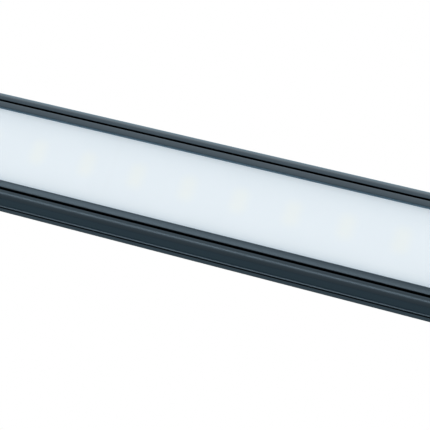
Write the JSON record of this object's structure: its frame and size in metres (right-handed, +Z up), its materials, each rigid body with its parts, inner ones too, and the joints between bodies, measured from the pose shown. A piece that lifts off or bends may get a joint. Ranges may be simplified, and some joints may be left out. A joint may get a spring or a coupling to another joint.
{
  "type": "vanity light bar",
  "caption": "Slim linear wall light for a vanity mirror: anodised extrusion with a recessed opal diffuser, on a shallow wall rail it lifts off.",
  "frame": {"origin": "centre of the wall rail's rear face, in the wall plane", "axes": "+X along the bar, +Z up, +Y into the wall; the diffuser faces -Y"},
  "size_m": [0.3076, 0.0205, 0.0338],
  "materials": {
    "anodised_body": "black anodised, fine satin grain along the bar",
    "opal_diffuser": "opal, smooth satin, faintly warm over each light source",
    "led_board": "white solder resist",
    "led_phosphor": "yellow phosphor in a white package",
    "thermal_tape": "grey, matte",
    "cap_plastic": "black, fine moulded texture",
    "seal_rubber": "black, matte",
    "black_screw": "black zinc",
    "plated_screw": "zinc plated",
    "white_plastic": "natural white, moulded",
    "driver_cradle": "pale grey, moulded",
    "driver_board": "green solder resist",
    "ferrite": "dark grey, dull",
    "winding_tape": "amber film",
    "capacitor_sleeve": "dark blue shrink sleeve",
    "fuse_body": "pale ceramic",
    "brown_wire": "brown insulation",
    "blue_wire": "blue insulation",
    "red_wire": "red insulation",
    "black_wire": "black insulation"
  },
  "bodies": {
    "rail": {"wall_rail": "anodised_body", "cable_grommet": "seal_rubber", "rail_lock_screw_left": "black_screw", "rail_lock_screw_right": "black_screw"},
    "lamp": {"board_link_connector": "white_plastic", "cable_clamp": "white_plastic", "cable_clamp_screw_lower": "plated_screw", "cable_clamp_screw_upper": "plated_screw", "diffuser": "opal_diffuser", "driver_board": "driver_board", "driver_capacitor_input": "capacitor_sleeve", "driver_capacitor_output": "capacitor_sleeve", "driver_choke": "winding_tape", "driver_cradle": "driver_cradle", "driver_fuse": "fuse_body", "driver_transformer": "ferrite", "end_cap_left": "cap_plastic", "end_cap_right": "cap_plastic", "end_cap_screw_left_lower": "black_screw", "end_cap_screw_left_upper": "black_screw", "end_cap_screw_right_lower": "black_screw", "end_cap_screw_right_upper": "black_screw", "end_gasket_left": "seal_rubber", "end_gasket_right": "seal_rubber", "housing": "anodised_body", "led_01": "led_phosphor", "led_02": "led_phosphor", "led_03": "led_phosphor", "led_04": "led_phosphor", "led_05": "led_phosphor", "led_06": "led_phosphor", "led_07": "led_phosphor", "led_08": "led_phosphor", "led_09": "led_phosphor", "led_10": "led_phosphor", "led_11": "led_phosphor", "led_12": "led_phosphor", "led_13": "led_phosphor", "led_14": "led_phosphor", "led_15": "led_phosphor", "led_16": "led_phosphor", "led_17": "led_phosphor", "led_18": "led_phosphor", "led_board_left": "led_board", "led_board_right": "led_board", "led_wire_negative": "black_wire", "led_wire_positive": "red_wire", "live_wire": "brown_wire", "lower_bezel_strip": "anodised_body", "neutral_wire": "blue_wire", "terminal_block": "white_plastic", "terminal_screw_live_driver": "plated_screw", "terminal_screw_live_supply": "plated_screw", "terminal_screw_neutral_driver": "plated_screw", "terminal_screw_neutral_supply": "plated_screw", "thermal_tape_left": "thermal_tape", "thermal_tape_right": "thermal_tape", "upper_bezel_strip": "anodised_body"}
  },
  "joints": [
    {"name": "lamp_lift_off", "type": "slide", "parent": "rail", "child": "lamp", "axis": [0, -1, 0], "range_m": [0, 0.04]}
  ]
}
